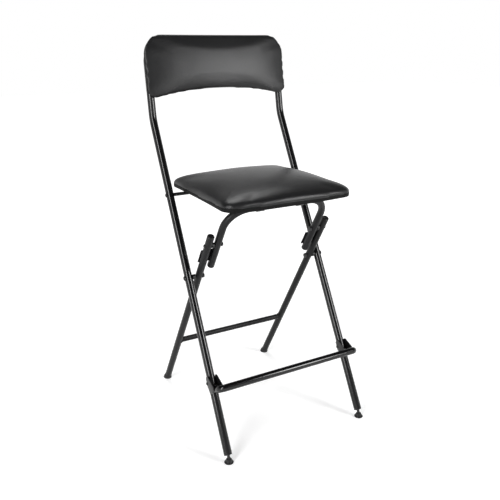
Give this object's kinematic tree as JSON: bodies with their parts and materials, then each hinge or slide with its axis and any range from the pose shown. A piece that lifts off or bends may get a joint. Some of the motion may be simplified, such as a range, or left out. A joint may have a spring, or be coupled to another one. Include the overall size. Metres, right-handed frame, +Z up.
{
  "type": "folding bar stool",
  "caption": "Folding bar stool: tubular steel frame with crossing legs, padded seat, padded low backrest and a footrest bar; the seat folds down flat against the frame.",
  "frame": {"origin": "on the floor, in the plane of symmetry, midway between the front and the rear feet", "axes": "+Z up, +X across to the right as seen from the front, -Y towards the front (the sitter's knees)"},
  "size_m": [0.4642, 0.5162, 1.0859],
  "materials": {
    "gloss_black_paint": "gloss",
    "satin_black_paint": "satin",
    "black_steel": "semi-gloss",
    "zinc_steel": "zinc plated",
    "black_vinyl": "soft sheen",
    "plywood": "bare",
    "black_plastic": "moulded",
    "black_rubber": "moulded"
  },
  "bodies": {
    "frame": {"frame_tube": "gloss_black_paint", "backrest_board": "plywood", "backrest_cushion": "black_vinyl", "backrest_screws": "zinc_steel", "footrest_bar": "satin_black_paint", "footrest_brackets": "black_steel", "footrest_bolts": "black_steel", "front_leg_plugs": "black_plastic", "glide_studs": "zinc_steel", "glide_bases": "black_plastic", "frame_pivot_bolts": "black_steel", "frame_pivot_spacers": "black_plastic", "seat_pivot_bolts": "black_steel"},
    "rear_legs": {"rear_leg_left": "satin_black_paint", "rear_leg_right": "satin_black_paint", "rear_crossbar": "satin_black_paint", "rear_feet": "black_rubber", "rear_leg_caps": "black_plastic", "frame_pivot_nuts": "zinc_steel", "knee_bolts": "black_steel", "knee_spacers": "black_plastic"},
    "seat_link": {"link_tube": "satin_black_paint", "link_caps": "black_plastic", "link_stops": "satin_black_paint", "knee_nuts": "zinc_steel"},
    "seat": {"seat_board": "plywood", "seat_cushion": "black_vinyl", "seat_rod": "zinc_steel", "rear_saddles": "black_steel", "front_saddles": "black_steel", "saddle_screws": "zinc_steel"}
  },
  "joints": [
    {"name": "leg_fold", "type": "hinge", "parent": "frame", "child": "rear_legs", "pos_m": [0, -0.01165, 0.43748], "axis": [-1, 0, 0], "range_deg": [0, 59.07]},
    {"name": "knee_fold", "type": "hinge", "parent": "rear_legs", "child": "seat_link", "pos_m": [0, -0.07338, 0.54148], "axis": [1, 0, 0], "range_deg": [0, 180]},
    {"name": "seat_fold", "type": "hinge", "parent": "seat_link", "child": "seat", "pos_m": [0, -0.13571, 0.6465], "axis": [-1, 0, 0], "range_deg": [0, 59.6]}
  ],
  "couplings": [
    {"joint": "knee_fold", "follows": "leg_fold", "ratio": 3.0472},
    {"joint": "seat_fold", "follows": "leg_fold", "ratio": 1.0081}
  ]
}
